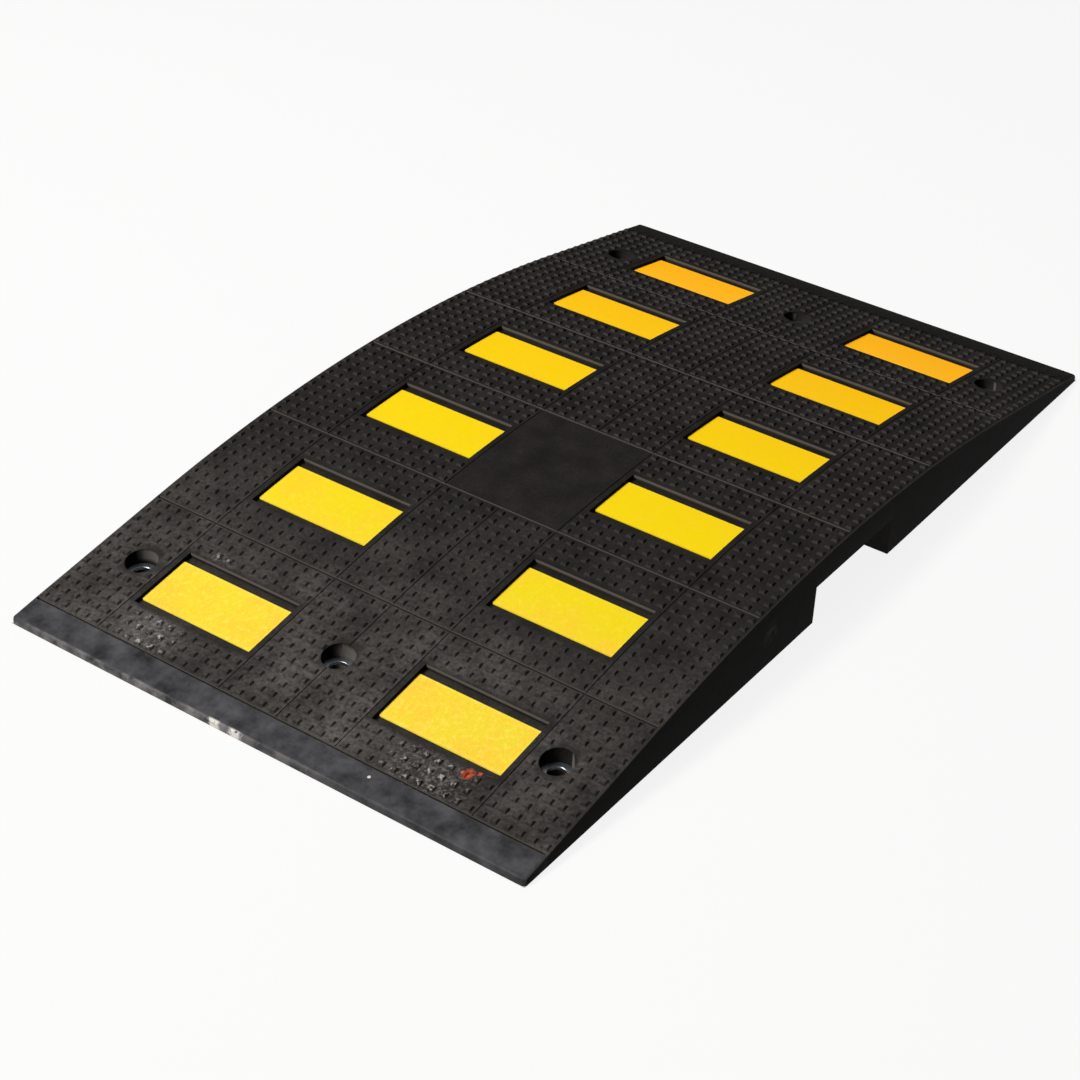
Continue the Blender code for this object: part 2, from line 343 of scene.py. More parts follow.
def sink(bm, faces, depth):
    """Pushes these faces straight down, with walls around them, and returns the new floor."""
    extruded = bmesh.ops.extrude_face_region(bm, geom=faces)["geom"]
    bmesh.ops.delete(bm, geom=faces, context="FACES")
    moved = [item for item in extruded if isinstance(item, bmesh.types.BMVert)]
    bmesh.ops.translate(bm, verts=moved, vec=(0, 0, -depth))
    return [item for item in extruded if isinstance(item, bmesh.types.BMFace)]


for inset, rise in ((PIP_TAPER, PIP_HEIGHT - PIP_EDGE), (PIP_EDGE, PIP_EDGE)):
    bmesh.ops.inset_region(body_mesh, faces=pip_quads, thickness=inset, depth=rise, use_even_offset=True)
sink(body_mesh, pocket_quads, POCKET_DEPTH)
groove_floor = sink(body_mesh, groove_quads, LONG_GROOVE_DEPTH)
cross_floor = [face for face in groove_floor if in_cross_groove(*face.calc_center_median().xy)]
sink(body_mesh, cross_floor, CROSS_GROOVE_DEPTH - LONG_GROOVE_DEPTH)
print("tread faces:", len(body_mesh.faces))

# %% Pull the rim down to the road and close the sole
rim = [edge for edge in body_mesh.edges if edge.is_boundary]
pulled = bmesh.ops.extrude_edge_only(body_mesh, edges=rim)["geom"]
for item in pulled:
    if isinstance(item, bmesh.types.BMVert):
        item.co.z = 0
sole_edges = [item for item in pulled if isinstance(item, bmesh.types.BMEdge)]
bmesh.ops.contextual_create(body_mesh, geom=sole_edges)
bmesh.ops.recalc_face_normals(body_mesh, faces=body_mesh.faces)


def new_piece(name, bm):
    mesh = bpy.data.meshes.new(name)
    bm.to_mesh(mesh)
    bm.free()
    piece = bpy.data.objects.new(name, mesh)
    bpy.context.scene.collection.objects.link(piece)
    return piece


body = new_piece("moulded_body", body_mesh)
print("body faces before the cuts:", len(body.data.polygons))

# %% [markdown]
# ## Marks for the wear and the painted light
# Dust, scuffs and the painted light on walls and the near ramp follow the shape, so each point of the mesh
# gets two values that the material reads later.
# The first says whether it is on a pip (1), on the tread (0) or below it (-1). The second is 1 among the
# pips, where dust stays, and 0 on the bare lands around the strips, which rain and tyres keep cleaner.

# %% Values for the wear
DUST_REACH = 6.5 * MM


def nearest(value, places):
    return min(places, key=lambda place: abs(place - value))


near_pip_x = {}
near_pip_y = {}
relief = body.data.attributes.new("relief", "FLOAT", "POINT")
among_pips = body.data.attributes.new("among_pips", "FLOAT", "POINT")
for vertex in body.data.vertices:
    x, y, z = vertex.co
    above = (z - tread_height(y)) / PIP_HEIGHT
    relief.data[vertex.index].value = max(-1.0, min(1.0, above))
    if x not in near_pip_x:
        near_pip_x[x] = nearest(x, pip_x)
    if y not in near_pip_y:
        near_pip_y[y] = nearest(y, pip_y)
    pip = (near_pip_x[x], near_pip_y[y])
    close = max(abs(x - pip[0]), abs(y - pip[1])) < DUST_REACH
    among_pips.data[vertex.index].value = float(close and pip in pip_places)
print("points with wear values:", len(body.data.vertices))

# %% [markdown]
# ## Bolt holes and channel
# The holes and the channel are cut in one go. A cutter made of six turned pins and a long box is taken away
# from the block with a Boolean, whose exact solver keeps the mesh closed. The new walls get 0 for both wear
# values.

# %% Cut the bolt holes and the channel
BORE_RADIUS = 7.5 * MM
WASHER_SEAT = WASHER_FOOT - FIT_GAP
CUT_MARGIN = 10 * MM
CHANNEL_WIDTH = 126 * MM
CHANNEL_OFFSET = 10.5 * MM
CHANNEL_HEIGHT = 35 * MM
ROUND_STEPS = 64
MERGE_DISTANCE = 0.001 * MM


def add_turned(bm, profile, axis):
    """Turns a line of (radius, z) points all the way round an upright axis."""
    points = [bm.verts.new((axis.x + radius, axis.y, z)) for radius, z in profile]
    edges = [bm.edges.new(pair) for pair in zip(points, points[1:])]
    bmesh.ops.spin(
        bm,
        geom=points + edges,
        cent=(axis.x, axis.y, 0),
        axis=(0, 0, 1),
        angle=math.tau,
        steps=ROUND_STEPS,
        use_merge=True,
    )


cutter_mesh = bmesh.new()
for axis in bolt_axes:
    hole_profile = [
        (BORE_RADIUS, -CUT_MARGIN),
        (BORE_RADIUS, WASHER_SEAT),
        (COUNTERBORE_RADIUS, WASHER_SEAT),
        (COUNTERBORE_RADIUS, CROWN_HEIGHT),
    ]
    add_turned(cutter_mesh, hole_profile, axis)
bmesh.ops.remove_doubles(cutter_mesh, verts=cutter_mesh.verts, dist=MERGE_DISTANCE)
bmesh.ops.holes_fill(cutter_mesh, edges=cutter_mesh.edges, sides=0)
channel_size = (2 * (HALF_WIDTH + CUT_MARGIN), CHANNEL_WIDTH, 2 * CHANNEL_HEIGHT)
channel_place = Matrix.Translation((0, CHANNEL_OFFSET, 0))
bmesh.ops.create_cube(cutter_mesh, size=1, matrix=channel_place @ Matrix.Diagonal((*channel_size, 1)))
bmesh.ops.recalc_face_normals(cutter_mesh, faces=cutter_mesh.faces)
cutter = new_piece("cutter", cutter_mesh)


def cut_away(piece, tool):
    """Applies a Boolean difference to the piece's mesh and removes the tool."""
    modifier = piece.modifiers.new("cut", "BOOLEAN")
    modifier.operation = "DIFFERENCE"
    modifier.solver = "EXACT"
    modifier.object = tool
    evaluated = piece.evaluated_get(bpy.context.evaluated_depsgraph_get())
    cut_mesh = bpy.data.meshes.new_from_object(evaluated)
    piece.modifiers.remove(modifier)
    piece.data = cut_mesh
    bpy.data.objects.remove(tool)


cut_away(body, cutter)


def open_edges(piece):
    bm = bmesh.new()
    bm.from_mesh(piece.data)
    count = sum(not edge.is_manifold for edge in bm.edges)
    bm.free()
    return count


SHARP_ANGLE = math.radians(35)
body.data.shade_smooth()
body.data.set_sharp_from_angle(angle=SHARP_ANGLE)
print("body faces:", len(body.data.polygons), "open edges:", open_edges(body))

# %% [markdown]
# ## The reflective strips
# Each strip is a piece of thick reflective sheeting that is bonded into its pocket, so it follows the curve
# of the crown. A small net of quads takes that curve from the tread's own height, is given its thickness
# downwards, and has its rim bevelled, because a cut edge of sheeting is never quite sharp.

# %% Strips
FILM_THICKNESS = 1.2 * MM
FILM_FLOOR = FIT_GAP - POCKET_DEPTH
FILM_CORNER = 1.2 * MM
FILM_BEVEL = 0.25 * MM
FILM_STEPS = 12
FILM_RIM = 3.5 * MM


def film_strip(name, low, high):
    middle = (low + high) / 2
    half_x, half_y = (high.x - low.x) / 2, (high.y - low.y) / 2
    corner = [FILM_RIM] + [share * FILM_CORNER for share in (1.0, 0.7, 0.4, 0.15, 0.0)]
    lines_x = merged([side * (half_x - inset) for side in (-1, 1) for inset in corner])
    steps = [half_y * (2 * i / FILM_STEPS - 1) for i in range(FILM_STEPS + 1)]
    lines_y = merged([side * (half_y - inset) for side in (-1, 1) for inset in corner] + steps)

    def film_point(x, y):
        plan_x, plan_y = rounded_plan(x, y, half_x, half_y, FILM_CORNER)
        y = middle.y + plan_y
        return (middle.x + plan_x, y, tread_height(y) + FILM_FLOOR + FILM_THICKNESS)

    bm = bmesh.new()
    top = list(add_net(bm, lines_x, lines_y, film_point).values())
    rim_edges = [edge for edge in bm.edges if edge.is_boundary]
    extruded = bmesh.ops.extrude_face_region(bm, geom=top)["geom"]
    moved = [item for item in extruded if isinstance(item, bmesh.types.BMVert)]
    bmesh.ops.translate(bm, verts=moved, vec=(0, 0, -FILM_THICKNESS))
    bmesh.ops.recalc_face_normals(bm, faces=bm.faces)
    bmesh.ops.bevel(bm, geom=rim_edges, offset=FILM_BEVEL, segments=2, profile=0.5, affect="EDGES")
    piece = new_piece(name, bm)
    piece.data.shade_smooth()
    piece.data.set_sharp_from_angle(angle=SHARP_ANGLE)
    rim = piece.data.attributes.new("rim", "FLOAT", "POINT")
    for vertex in piece.data.vertices:
        inset = min(half_x - abs(vertex.co.x - middle.x), half_y - abs(vertex.co.y - middle.y))
        rim.data[vertex.index].value = max(0.0, 1 - inset / FILM_RIM)
    return piece


films = {}
for name, (low, high) in strip_boxes.items():
    films[name] = film_strip(name.replace("strip", "film"), low, high)
print("strips:", len(films), "open edges:", sum(open_edges(piece) for piece in films.values()))

# %% [markdown]
# ## The washers
# A plain steel washer lies at the bottom of each counterbore, where the bolt's head will press on it. A
# stamped washer has a slightly rounded upper rim on the side where the punch came in, so the turned outline
# has small chamfers there.

# %% Washers
STAMPED_EDGE = 0.4 * MM


def turned_washer(name, low, high):
    axis = (low + high) / 2
    bm = bmesh.new()
    outline = [
        (BORE_RADIUS, low.z),
        (WASHER_RADIUS, low.z),
        (WASHER_RADIUS, high.z - STAMPED_EDGE),
        (WASHER_RADIUS - STAMPED_EDGE, high.z),
        (BORE_RADIUS + STAMPED_EDGE, high.z),
        (BORE_RADIUS, high.z - STAMPED_EDGE),
        (BORE_RADIUS, low.z),
    ]
    add_turned(bm, outline, axis)
    bmesh.ops.remove_doubles(bm, verts=bm.verts, dist=MERGE_DISTANCE)
    bmesh.ops.recalc_face_normals(bm, faces=bm.faces)
    piece = new_piece(name, bm)
    piece.data.shade_smooth()
    piece.data.set_sharp_from_angle(angle=SHARP_ANGLE)
    return piece


washers = {}
for name, (low, high) in washer_boxes.items():
    washers[name] = turned_washer(name.replace("washer", "steel_washer"), low, high)
print("washers:", len(washers), "open edges:", sum(open_edges(piece) for piece in washers.values()))

# %% [markdown]
# ## Vulcanised rubber
# The block is pressed from rubber crumb and vulcanised: nearly black, with a dull skin that shines a little
# at a flat angle. It could be one dark colour, but real rubber is never even: the crumb mottles it, and
# wear changes it from place to place. So the colour is built up like coats of paint, from the clean rubber
# to the dust and the last scuffs, with coats of painted light and painted shade among them, and every coat
# has a mask that says where it lies.

# %% Clean rubber
# Dull and nearly black, with a faint mottle: the eye takes it for pressed rubber, not for paint or plastic.
rubber, tree, shader = new_material("vulcanised_rubber")
place = add_node(tree, "ShaderNodeTexCoord").outputs["Object"]
axes = add_node(tree, "ShaderNodeSeparateXYZ", {0: place}).outputs
across, along = axes["X"], axes["Y"]
MOTTLE_SIZE = 28 * MM
CRUMB_SIZE = 2.2 * MM


def blotches(tree, place, size, low, high):
    """A mask of uneven spots of about this size. The closer low and high are, the crisper the spots."""
    settings = {"Vector": place, "Scale": 1 / size, "Detail": 4.0, "Roughness": 0.6}
    noise = add_node(tree, "ShaderNodeTexNoise", settings)
    spread = {"Value": noise.outputs["Fac"], "From Min": low, "From Max": high}
    return add_node(tree, "ShaderNodeMapRange", spread).outputs["Result"]


mottle = blotches(tree, place, MOTTLE_SIZE, 0.3, 0.7)
crumb = blotches(tree, place, CRUMB_SIZE, 0.25, 0.75)
uneven = add_node(tree, "ShaderNodeMath", {0: mottle, 1: crumb}, operation="MULTIPLY").outputs[0]
clean = {"Factor": uneven, "A": linear("#171513"), "B": linear("#2e2b28")}
skin = add_node(tree, "ShaderNodeMix", clean, data_type="RGBA").outputs["Result"]
print("rubber mottled every", MOTTLE_SIZE / MM, "mm and grained every", CRUMB_SIZE / MM, "mm")

# %% [markdown]
# ## Dust and painted sheen on the near ramp
# Tyres bring grit to the end that they meet first, and it stays among the pips. The same pale coat also
# stands for the lamps' sheen on the near ramp, so it is partly dust and partly painted sheen. The mask fades
# along the traffic, is broken up by two sizes of noise, and reads the value that marks the pips. The smooth
# lip before them is polished by the tyres and so less rough, and it has a coat of its own: a bluish grey
# with soft blotches, which is a painted sheen.

# %% Dust and painted sheen, and the lip's painted sheen
DUST_PATCH = 55 * MM
DUST_GRIT = 3.5 * MM
DUST_AND_SHEEN_START = -430 * MM
DUST_AND_SHEEN_END = -120 * MM
LIP_SHEEN_BLOTCH = 16 * MM
LIP_BLEND = 1 * MM
# Partly dust and partly painted sheen: a pale coat that is strongest at the near end, where the lamps' sheen
# falls.
fading = {"Value": along, "From Min": DUST_AND_SHEEN_START, "From Max": DUST_AND_SHEEN_END, "To Min": 0.50, "To Max": 0.05}
dust_and_sheen = add_node(tree, "ShaderNodeMapRange", fading, interpolation_type="SMOOTHSTEP").outputs["Result"]
grip = add_node(tree, "ShaderNodeAttribute", attribute_name="among_pips").outputs["Fac"]
held = add_node(tree, "ShaderNodeMapRange", {"Value": grip, "To Min": 0.3, "To Max": 1.0}).outputs["Result"]
patches = blotches(tree, place, DUST_PATCH, 0.2, 0.75)
grit = blotches(tree, place, DUST_GRIT, 0.2, 0.8)
facing = add_node(tree, "ShaderNodeNewGeometry").outputs["True Normal"]
to_the_side, to_the_far_end, upwards = add_node(tree, "ShaderNodeSeparateXYZ", {0: facing}).outputs
upper_faces = {"Value": upwards, "From Min": 0.1, "From Max": 0.4}
level = add_node(tree, "ShaderNodeMapRange", upper_faces).outputs["Result"]
for part in (held, patches, grit, level):
    dust_and_sheen = add_node(tree, "ShaderNodeMath", {0: dust_and_sheen, 1: part}, operation="MULTIPLY").outputs[0]
lip_start = {"Value": along, "From Min": LIP_BLEND - TREAD_REACH, "From Max": -TREAD_REACH - LIP_BLEND}
lip = add_node(tree, "ShaderNodeMapRange", lip_start).outputs["Result"]
not_under = {"Value": upwards, "From Min": -0.6, "From Max": -0.3}
not_sole = add_node(tree, "ShaderNodeMapRange", not_under).outputs["Result"]
lip = add_node(tree, "ShaderNodeMath", {0: lip, 1: not_sole}, operation="MULTIPLY").outputs[0]
# Painted sheen: the lip's bluish grey stands in for the sky's reflection on it.
lip_sheen_blotch = blotches(tree, place, LIP_SHEEN_BLOTCH, 0.28, 0.68)
lip_sheen_tones = {"Factor": lip_sheen_blotch, "A": linear("#232325"), "B": linear("#4f4f53")}
painted_lip_sheen = add_node(tree, "ShaderNodeMix", lip_sheen_tones, data_type="RGBA").outputs["Result"]
coats = [(dust_and_sheen, linear("#9a9693")), (lip, painted_lip_sheen)]
print("dust and lip coats ready")

# %% [markdown]
# ## Scuffs, painted light and painted shade
# Walls that face the front lamp, the near sides of the pips and the far walls of the grooves, get a pale
# coat that is painted light. The direction of the surface picks them out, so they stay where they are from
# any side. The front edge of the lip is worn to a pale grey on its left half, and the rounded side edges
# get a faint painted highlight. The right side face and the far lip, which turn away from the lamps, get
# painted shade and stay nearly black. Last come marks that are given one by one, as distances from a point:
# grit, two chips, specks of old paint, a fleck on the lip and a pale patch on the side face.

# %% Painted light on walls, and worn front edge
LIT_WALL_START = -360 * MM
LIT_WALL_END = -200 * MM
WEAR_STARTS = 100 * MM
WEAR_IS_FULL = -20 * MM
WORN_PATCH = 18 * MM
# Painted light: walls that face the front lamp, the near sides of the pips and the upper far walls of
# grooves and pockets, get a pale coat.
steep = {"Value": to_the_far_end, "From Min": -0.45, "From Max": -0.85}
painted_lit_walls = add_node(tree, "ShaderNodeMapRange", steep).outputs["Result"]
relief_value = add_node(tree, "ShaderNodeAttribute", attribute_name="relief").outputs["Fac"]
ramp_up = {"Value": along, "From Min": LIT_WALL_START, "From Max": LIT_WALL_END, "To Min": 0.0, "To Max": 0.08}
on_pips = add_node(tree, "ShaderNodeMapRange", ramp_up).outputs["Result"]
below = {"Value": relief_value, "From Min": 0.0, "From Max": -0.1, "To Min": 0.0, "To Max": 0.5}
below_tread = add_node(tree, "ShaderNodeMapRange", below).outputs["Result"]
upper_part = {"Value": relief_value, "From Min": -0.75, "From Max": -0.5}
near_top = add_node(tree, "ShaderNodeMapRange", upper_part).outputs["Result"]
in_grooves = add_node(tree, "ShaderNodeMath", {0: below_tread, 1: near_top}, operation="MULTIPLY").outputs[0]
lit_wall_places = add_node(tree, "ShaderNodeMath", {0: on_pips, 1: in_grooves}, operation="MAXIMUM").outputs[0]
painted_lit_walls = add_node(tree, "ShaderNodeMath", {0: painted_lit_walls, 1: lit_wall_places}, operation="MULTIPLY").outputs[0]
front = {"Value": along, "From Min": EDGE_ROUND - HALF_LENGTH, "From Max": 0.4 * EDGE_ROUND - HALF_LENGTH}
front_edge = add_node(tree, "ShaderNodeMapRange", front).outputs["Result"]
front_edge = add_node(tree, "ShaderNodeMath", {0: front_edge, 1: not_sole}, operation="MULTIPLY").outputs[0]
# Painted shade: the far lip, which turns away from the lamps, gets a darker coat below and no painted light
# on its walls.
far_start = {"Value": along, "From Min": TREAD_REACH - 3 * MM, "From Max": TREAD_REACH + 1 * MM}
painted_shade_far_lip = add_node(tree, "ShaderNodeMapRange", far_start).outputs["Result"]
for spared in (front_edge, painted_shade_far_lip):
    less = {0: painted_lit_walls, 1: spared}
    painted_lit_walls = add_node(tree, "ShaderNodeMath", less, operation="SUBTRACT", use_clamp=True).outputs[0]
left_half = {"Value": across, "From Min": WEAR_STARTS, "From Max": WEAR_IS_FULL}
worn_left = add_node(tree, "ShaderNodeMapRange", left_half).outputs["Result"]
worn = front_edge
for part in (worn_left, blotches(tree, place, WORN_PATCH, 0.40, 0.62)):
    worn = add_node(tree, "ShaderNodeMath", {0: worn, 1: part}, operation="MULTIPLY").outputs[0]
coats += [(painted_lit_walls, linear("#8f8a85")), (worn, linear("#7d7b7c"))]
print("coats so far:", len(coats))

# %% Painted shade on the side face and far lip, painted highlight on the side edges
# Painted shade: the side face that turns away from the lamps is made nearly black.
faces_right = {"Value": to_the_side, "From Min": 0.85, "From Max": 0.99}
painted_shade_side_face = add_node(tree, "ShaderNodeMapRange", faces_right).outputs["Result"]
# Painted highlight: the upper part of the rounded side edges gets a faint pale coat, where the light catches
# them.
reach = add_node(tree, "ShaderNodeMath", {0: across}, operation="ABSOLUTE").outputs[0]
rounding_starts = HALF_WIDTH - 0.7 * EDGE_ROUND
rounding_ends = HALF_WIDTH - 0.3 * EDGE_ROUND
rounding = {"Value": reach, "From Min": rounding_starts, "From Max": rounding_ends}
painted_rim_highlight = add_node(tree, "ShaderNodeMapRange", rounding).outputs["Result"]
upward = {"Value": upwards, "From Min": 0.3, "From Max": 0.7, "To Max": 0.3}
face_up = add_node(tree, "ShaderNodeMapRange", upward).outputs["Result"]
painted_rim_highlight = add_node(tree, "ShaderNodeMath", {0: painted_rim_highlight, 1: face_up}, operation="MULTIPLY").outputs[0]
# The two near blacks are painted shade; the pale grey on the side edges is a painted highlight.
coats += [(painted_shade_side_face, linear("#100f0d")), (painted_shade_far_lip, linear("#131110")), (painted_rim_highlight, linear("#6e6b68"))]
print("coats so far:", len(coats))

# %% Spots of grit, chips and paint
GRIT_PATCHES = [((0.130, -0.411), 48 * MM), ((-0.140, -0.407), 34 * MM), ((-0.150, -0.319), 16 * MM)]
CHIPS = [((-0.0375, -0.450), 7 * MM), ((-0.0170, -0.450), 8 * MM)]
PAINT_SPOTS = [((0.1569, -0.3918), 6 * MM), ((0.1643, -0.3872), 2.5 * MM), ((0.1697, -0.3838), 2.5 * MM)]
FLECKS = [((0.0975, -0.432), 1.6 * MM)]
PALE_SIDE_PATCH = ((0.25, -0.123), 14 * MM)
PALE_PATCH_HEIGHT = 31 * MM
PALE_PATCH_SHARE = 0.25
PALE_PATCH_GRAIN = 7 * MM
SPECK_SIZE = 3 * MM
CHIP_PATCH = 5 * MM
PAINT_FLAKE = 3 * MM
RAGGED = 4 * MM
flattened = {0: place, 1: (1, 1, 0)}
flat_place = add_node(tree, "ShaderNodeVectorMath", flattened, operation="MULTIPLY").outputs[0]
ragged_noise = add_node(tree, "ShaderNodeTexNoise", {"Vector": place, "Scale": 1 / RAGGED, "Detail": 3.0})
ragged = {0: ragged_noise.outputs["Color"], 1: (0.5, 0.5, 0.5)}
shift = add_node(tree, "ShaderNodeVectorMath", ragged, operation="SUBTRACT").outputs[0]
shift = add_node(tree, "ShaderNodeVectorMath", {0: shift, "Scale": RAGGED}, operation="SCALE").outputs[0]
ragged_place = add_node(tree, "ShaderNodeVectorMath", {0: flat_place, 1: shift}, operation="ADD").outputs[0]


def spots(tree, place, centres, sharpness):
    """A mask of round spots, each given by its (x, y) and its radius, with edges of this sharpness."""
    total = 0.0
    for (x, y), radius in centres:
        between = {0: place, 1: (x, y, 0)}
        apart = add_node(tree, "ShaderNodeVectorMath", between, operation="DISTANCE").outputs["Value"]
        rim = {"Value": apart, "From Min": radius, "From Max": radius * sharpness}
        spot = add_node(tree, "ShaderNodeMapRange", rim).outputs["Result"]
        total = add_node(tree, "ShaderNodeMath", {0: spot, 1: total}, operation="MAXIMUM").outputs[0]
    return total


high_spots = {"Value": relief_value, "From Min": 0.2, "From Max": 0.9, "To Min": 0.25, "To Max": 1.0}
high = add_node(tree, "ShaderNodeMapRange", high_spots).outputs["Result"]
specks = spots(tree, ragged_place, GRIT_PATCHES, 0.3)
for part in (high, grip, level, blotches(tree, place, SPECK_SIZE, 0.50, 0.60)):
    specks = add_node(tree, "ShaderNodeMath", {0: specks, 1: part}, operation="MULTIPLY").outputs[0]
flecks = spots(tree, flat_place, FLECKS, 0.6)
flecks = add_node(tree, "ShaderNodeMath", {0: flecks, 1: level}, operation="MULTIPLY").outputs[0]
# Height counts for the pale patch, so that it stays a spot on the side face.
lowered = {0: place, 1: (0, 0, PALE_PATCH_HEIGHT)}
at_side_patch = add_node(tree, "ShaderNodeVectorMath", lowered, operation="SUBTRACT").outputs[0]
side_patch_mask = spots(tree, at_side_patch, [PALE_SIDE_PATCH], 0.2)
for part in (painted_shade_side_face, PALE_PATCH_SHARE, blotches(tree, place, PALE_PATCH_GRAIN, 0.45, 0.60)):
    side_patch_mask = add_node(tree, "ShaderNodeMath", {0: side_patch_mask, 1: part}, operation="MULTIPLY").outputs[0]
chips = spots(tree, ragged_place, CHIPS, 0.5)
for part in (front_edge, blotches(tree, place, CHIP_PATCH, 0.38, 0.52)):
    chips = add_node(tree, "ShaderNodeMath", {0: chips, 1: part}, operation="MULTIPLY").outputs[0]
paint = spots(tree, ragged_place, PAINT_SPOTS, 0.5)
for part in (level, blotches(tree, place, PAINT_FLAKE, 0.40, 0.52)):
    paint = add_node(tree, "ShaderNodeMath", {0: paint, 1: part}, operation="MULTIPLY").outputs[0]
coats += [(specks, linear("#a5a29e")), (chips, linear("#e4e2de")), (paint, linear("#c9532f"))]
coats += [(flecks, linear("#d8d6d2")), (side_patch_mask, linear("#6a6764"))]
print("hand-placed spots:", len(GRIT_PATCHES + CHIPS + PAINT_SPOTS + FLECKS) + 1)

# %% [markdown]
# ## Gloss and grain of the rubber
# The coats are laid one over the other with Mix nodes. Rubber has an IOR of about 1.5. Its skin is rough,
# the polished lip less so, and the dust takes all the shine away. The Specular IOR Level is low, because a
# worn skin scatters most of what a smooth one would mirror, and a mirrored white floor would turn the side
# face grey. A fine bump for the crumb and a broad one for the uneven pressing break up the reflections. The
# real grain is finer than a pixel here, so it is drawn about twice as coarse.

# %% Put the rubber together
for mask, colour in coats:
    coat = {"Factor": mask, "A": skin, "B": colour}
    skin = add_node(tree, "ShaderNodeMix", coat, data_type="RGBA").outputs["Result"]
tree.links.new(skin, shader.inputs["Base Color"])
shine = {"Value": lip, "To Min": 0.62, "To Max": 0.46}
smooth = add_node(tree, "ShaderNodeMapRange", shine).outputs["Result"]
rough = {0: dust_and_sheen, 1: 0.3, 2: smooth}
roughness = add_node(tree, "ShaderNodeMath", rough, operation="MULTIPLY_ADD").outputs[0]
tree.links.new(roughness, shader.inputs["Roughness"])
shader.inputs["IOR"].default_value = 1.5
matt = {"Value": painted_shade_side_face, "To Min": 0.1, "To Max": 0.02}
reflection = add_node(tree, "ShaderNodeMapRange", matt).outputs["Result"]
tree.links.new(reflection, shader.inputs["Specular IOR Level"])
PRESSING_SIZE = 22 * MM
pressing = blotches(tree, place, PRESSING_SIZE, 0.0, 1.0)
broad = add_node(tree, "ShaderNodeBump", {"Height": pressing, "Strength": 0.5, "Distance": 0.6 * MM})
fine = {"Height": crumb, "Strength": 0.45, "Distance": 0.25 * MM, "Normal": broad.outputs["Normal"]}
grain = add_node(tree, "ShaderNodeBump", fine)
tree.links.new(grain.outputs["Normal"], shader.inputs["Normal"])
body.data.materials.clear()
body.data.materials.append(rubber)
print("rubber coats:", len(coats))

# %% [markdown]
# ## Reflective sheeting
# Road sheeting is a yellow film over glass beads, which throw a headlamp's light straight back. A
# Principled shader can't do that, so a little emission stands for what comes back. The strips differ in
# their light: those at the near end are paler with a painted sheen, and the far ones are nearer to amber.
# A colour ramp along the traffic paints that light into the colour and makes the far strips brighter
# against the lamps' falloff, a noise mottles the beads, and the trimmed rim of each strip is paler, where
# the film has lifted from its backing.

# %% Sheeting material
# Satin yellow that glows a little: the eye takes it for beaded tape with light coming back from it.
sheeting, tree, shader = new_material("reflective_sheeting")
place = add_node(tree, "ShaderNodeTexCoord").outputs["Object"]
along = add_node(tree, "ShaderNodeSeparateXYZ", {0: place}).outputs["Y"]
row_reach = row_edges[-1] - (row_edges[1] - row_edges[0]) / 2
share = {"Value": along, "From Min": -row_reach, "From Max": row_reach}
rows = add_node(tree, "ShaderNodeMapRange", share).outputs["Result"]
painted_light_hues = add_node(tree, "ShaderNodeValToRGB", {"Fac": rows})
# Painted light: the ramp paints the change of the film's light along the module into its colour; the far end
# is made more amber and brighter in red, where less lamp light reaches.
STRIP_HUES_PAINTED_LIGHT = {0.0: "#ceb71c", 0.2: "#d0ba02", 0.4: "#d7bb00", 0.6: "#ddb700", 0.8: "#e6b200", 1.0: "#f0a805"}
for stop in list(STRIP_HUES_PAINTED_LIGHT)[1:-1]:
    painted_light_hues.color_ramp.elements.new(stop)
for element, (stop, hue) in zip(painted_light_hues.color_ramp.elements, STRIP_HUES_PAINTED_LIGHT.items()):
    element.position = stop
    element.color = linear(hue)
BEAD_PATCH = 5 * MM
BEAD_GRAIN = 1.6 * MM
SUN_PATCH = 35 * MM
bead_patch = blotches(tree, place, BEAD_PATCH, 0.50, 0.85)
bead_grain = blotches(tree, place, BEAD_GRAIN, 0.35, 0.75)
rim_value = add_node(tree, "ShaderNodeAttribute", attribute_name="rim").outputs["Fac"]
pale_film_and_sheen = 0.0
for part, weight in ((bead_patch, 0.80), (bead_grain, 0.45), (rim_value, 0.30)):
    weighted = {0: part, 1: weight, 2: pale_film_and_sheen}
    pale_film_and_sheen = add_node(tree, "ShaderNodeMath", weighted, operation="MULTIPLY_ADD").outputs[0]
# Painted sheen: the pale coat is strongest on the near strips, where the lamps' sheen falls; the bead mottle
# and the rim's paleness ride on it.
near_end = {"Value": rows, "From Max": 0.3, "To Min": 1.0, "To Max": 0.15}
near_end_sheen = add_node(tree, "ShaderNodeMapRange", near_end).outputs["Result"]
pale_film_and_sheen = add_node(tree, "ShaderNodeMath", {0: pale_film_and_sheen, 1: near_end_sheen}, operation="MULTIPLY").outputs[0]
sun_patch = blotches(tree, place, SUN_PATCH, 0.42, 0.70)
golden = add_node(tree, "ShaderNodeMath", {0: sun_patch, 1: near_end_sheen}, operation="MULTIPLY").outputs[0]
sunned = {"Factor": golden, "A": painted_light_hues.outputs["Color"], "B": linear("#dba62a")}
faded = add_node(tree, "ShaderNodeMix", sunned, data_type="RGBA").outputs["Result"]
pale = {"Factor": pale_film_and_sheen, "A": faded, "B": linear("#e0c950")}
yellow = add_node(tree, "ShaderNodeMix", pale, data_type="RGBA").outputs["Result"]
tree.links.new(yellow, shader.inputs["Base Color"])
tree.links.new(yellow, shader.inputs["Emission Color"])
shader.inputs["Emission Strength"].default_value = 0.4
shader.inputs["Roughness"].default_value = 0.38
shader.inputs["IOR"].default_value = 1.49
shader.inputs["Specular IOR Level"].default_value = 0.1
bead_bump = add_node(tree, "ShaderNodeBump", {"Height": bead_grain, "Strength": 0.25, "Distance": 0.15 * MM})
tree.links.new(bead_bump.outputs["Normal"], shader.inputs["Normal"])
for piece in films.values():
    piece.data.materials.append(sheeting)
